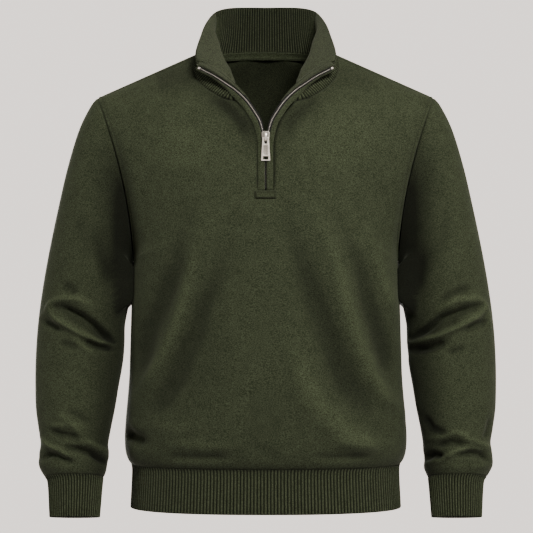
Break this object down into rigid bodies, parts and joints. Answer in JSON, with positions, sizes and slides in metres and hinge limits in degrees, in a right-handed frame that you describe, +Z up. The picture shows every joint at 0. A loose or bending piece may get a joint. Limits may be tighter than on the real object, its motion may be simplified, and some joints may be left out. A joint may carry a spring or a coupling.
{
  "type": "quarter zip sweater",
  "caption": "Long-sleeved knit sweater with a stand collar, a half-open neck zip and ribbed collar, cuffs and hem.",
  "frame": {"origin": "middle of the neck base, level with the high points of the shoulders", "axes": "+Z up, the front faces -Y, the wearer's left is +X; metres"},
  "size_m": [0.6888, 0.2443, 0.7709],
  "materials": {
    "knit": "brushed heathered jersey, dark olive",
    "rib": "rib knit, dark olive",
    "tape": "woven zip tape, black",
    "metal": "polished zip metal"
  },
  "bodies": {
    "garment": {"front": "knit", "back": "knit", "sleeve_left": "knit", "sleeve_right": "knit", "cuff_left": "rib", "cuff_right": "rib", "hem_band": "rib", "collar": "rib", "collar_facing_left": "knit", "collar_facing_right": "knit", "neck_tape": "knit", "placket_left": "knit", "placket_right": "knit", "placket_bar": "knit", "zip_tape_left": "tape", "zip_tape_right": "tape", "zip_slider": "metal"},
    "pull_tab": {"pull_tab": "metal"}
  },
  "joints": [
    {"name": "pull_tab_hinge", "type": "hinge", "parent": "garment", "child": "pull_tab", "pos_m": [0, -0.1156, -0.128], "axis": [-1, 0, 0], "range_deg": [0, 140]}
  ]
}
